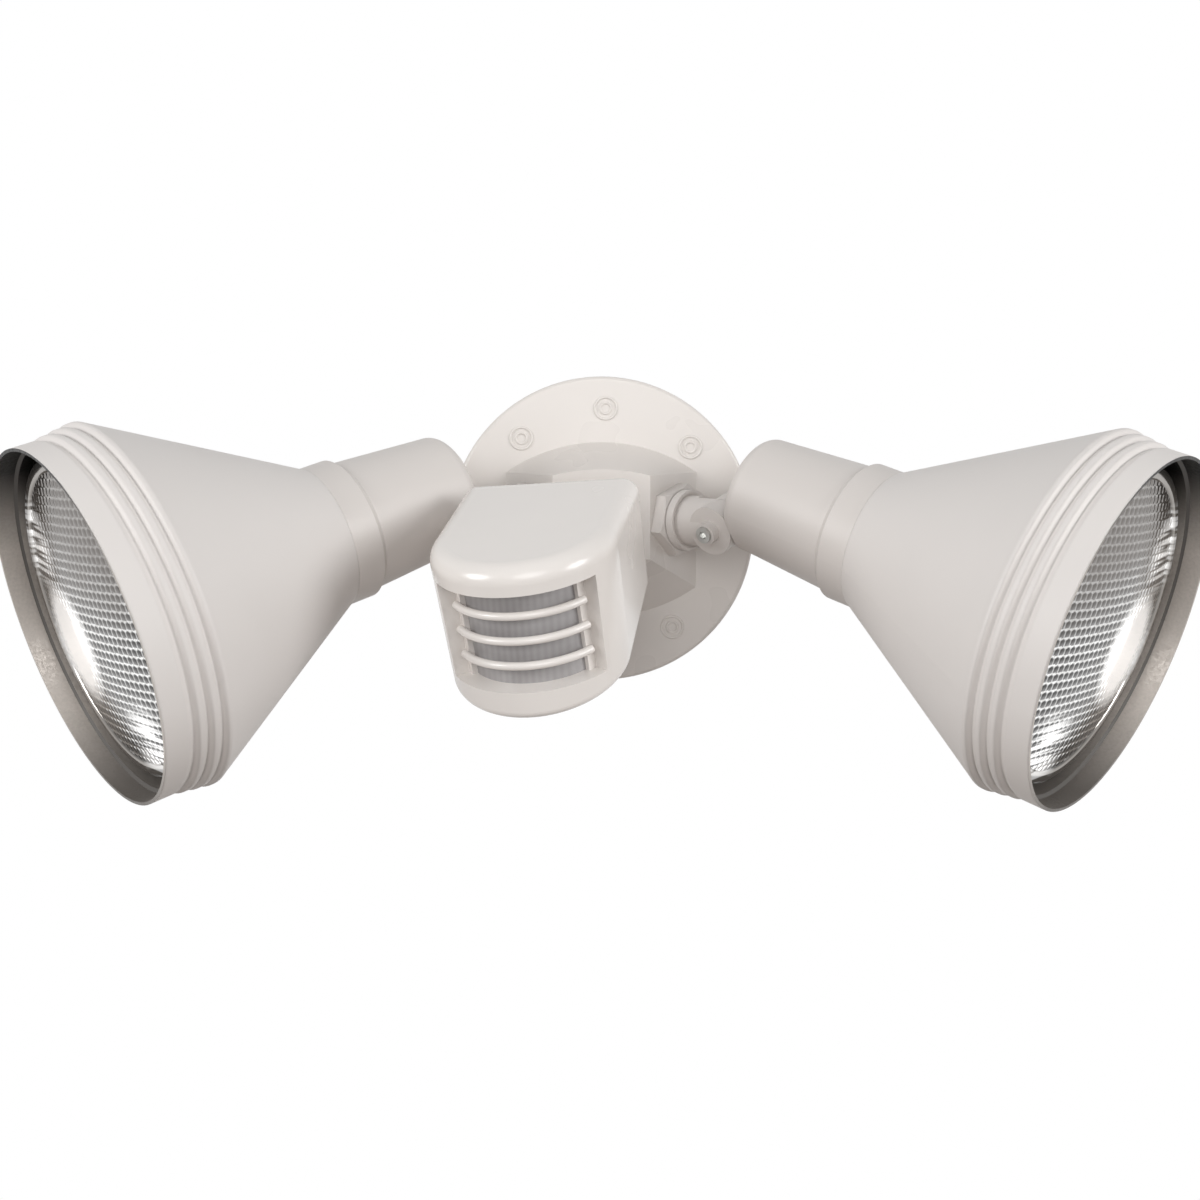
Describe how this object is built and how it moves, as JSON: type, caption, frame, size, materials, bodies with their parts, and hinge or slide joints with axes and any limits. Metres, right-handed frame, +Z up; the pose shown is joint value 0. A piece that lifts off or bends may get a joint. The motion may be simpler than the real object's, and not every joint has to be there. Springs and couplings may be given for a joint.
{
  "type": "motion sensor security light",
  "caption": "Twin reflector-lamp outdoor security light: round wall cover, two swivelling shaded lampholders and a swivelling motion sensor head.",
  "frame": {"origin": "centre of the round cover's seat, in the wall plane", "axes": "+X to the right as seen from the front, +Z up, +Y into the wall"},
  "size_m": [0.4545, 0.1862, 0.1548],
  "materials": {
    "white_gloss": "glossy warm white",
    "white_paint": "satin powder coat, fine texture",
    "black_rubber": "matte",
    "white_rubber": "matte",
    "zinc_steel": "bright zinc plate",
    "green_screw": "green passivated steel",
    "socket_ceramic": "glazed",
    "brass": "nickelled or plain brass",
    "lamp_glass": "clear pressed glass",
    "silvered": "silvered inside",
    "lamp_cap_metal": "bright",
    "sensor_window": "translucent grey lens film",
    "board_green": "fibreglass laminate",
    "can_metal": "bright can",
    "cell_red": "photoresistor disc",
    "relay_blue": "moulded case"
  },
  "bodies": {
    "base": {"canopy_cover": "white_gloss", "wall_gasket": "black_rubber", "mounting_strap": "zinc_steel", "centre_screw": "zinc_steel", "screw_plug": "white_rubber", "ground_screw": "green_screw", "right_lock_nut": "white_paint", "left_lock_nut": "white_paint", "sensor_lock_nut": "white_paint"},
    "right_arm": {"right_arm_knuckle": "white_paint", "right_stem_nut": "zinc_steel", "right_knuckle_screw": "zinc_steel"},
    "right_head": {"right_lampholder": "white_paint", "right_socket_body": "socket_ceramic", "right_screw_shell": "brass", "right_centre_contact": "brass", "right_lamp_seal": "black_rubber", "right_shade": "white_paint"},
    "right_lamp": {"right_lamp_lens": "lamp_glass", "right_lamp_reflector": "silvered", "right_lamp_cap": "lamp_cap_metal", "right_lamp_burner": "lamp_glass"},
    "left_arm": {"left_arm_knuckle": "white_paint", "left_stem_nut": "zinc_steel", "left_knuckle_screw": "zinc_steel"},
    "left_head": {"left_lampholder": "white_paint", "left_socket_body": "socket_ceramic", "left_screw_shell": "brass", "left_centre_contact": "brass", "left_lamp_seal": "black_rubber", "left_shade": "white_paint"},
    "left_lamp": {"left_lamp_lens": "lamp_glass", "left_lamp_reflector": "silvered", "left_lamp_cap": "lamp_cap_metal", "left_lamp_burner": "lamp_glass"},
    "sensor_arm": {"sensor_arm_knuckle": "white_paint", "sensor_stem_nut": "zinc_steel", "sensor_knuckle_screw": "zinc_steel"},
    "sensor_head": {"sensor_hood": "white_gloss", "sensor_rear_cover": "white_gloss", "sensor_lens": "sensor_window", "circuit_board": "board_green", "infrared_element": "can_metal", "photocell": "cell_red", "relay": "relay_blue", "board_screws": "zinc_steel", "potentiometers": "relay_blue"},
    "time_knob": {"time_dial": "white_gloss"},
    "light_knob": {"light_dial": "white_gloss"}
  },
  "joints": [
    {"name": "right_arm_swivel", "type": "hinge", "parent": "base", "child": "right_arm", "pos_m": [0.0296, -0.021, 0.0055], "axis": [0.7431, -0.6691, 0], "range_deg": [-40, 40]},
    {"name": "right_head_tilt", "type": "hinge", "parent": "right_arm", "child": "right_head", "pos_m": [0.04922, -0.03866, 0.0055], "axis": [-0.6391, -0.7098, -0.296], "range_deg": [-20, 35]},
    {"name": "right_lamp_out", "type": "slide", "parent": "right_head", "child": "right_lamp", "axis": [0.7685, -0.5749, -0.2807], "range_m": [0, 0.15]},
    {"name": "left_arm_swivel", "type": "hinge", "parent": "base", "child": "left_arm", "pos_m": [-0.0296, -0.021, 0.0055], "axis": [0.7431, 0.6691, 0], "range_deg": [-40, 40]},
    {"name": "left_head_tilt", "type": "hinge", "parent": "left_arm", "child": "left_head", "pos_m": [-0.04922, -0.03866, 0.0055], "axis": [-0.618, 0.6864, 0.3834], "range_deg": [-20, 35]},
    {"name": "left_lamp_out", "type": "slide", "parent": "left_head", "child": "left_lamp", "axis": [-0.7857, -0.5563, -0.2706], "range_m": [0, 0.15]},
    {"name": "sensor_swivel", "type": "hinge", "parent": "base", "child": "sensor_arm", "pos_m": [-0.01, -0.02223, -0.02427], "axis": [0, -0.7694, -0.6388], "range_deg": [-15, 7]},
    {"name": "sensor_tilt", "type": "hinge", "parent": "sensor_arm", "child": "sensor_head", "pos_m": [-0.01, -0.0407, -0.0396], "axis": [0.9818, -0.1214, 0.1462], "range_deg": [-8, 15]},
    {"name": "time_dial_turn", "type": "hinge", "parent": "sensor_head", "child": "time_knob", "pos_m": [-0.00861, -0.09485, -0.02932], "axis": [-0.1606, -0.4481, 0.8795], "range_deg": [-135, 135]},
    {"name": "light_dial_turn", "type": "hinge", "parent": "sensor_head", "child": "light_knob", "pos_m": [-0.02714, -0.09087, -0.03068], "axis": [-0.1606, -0.4481, 0.8795], "range_deg": [-135, 135]}
  ]
}
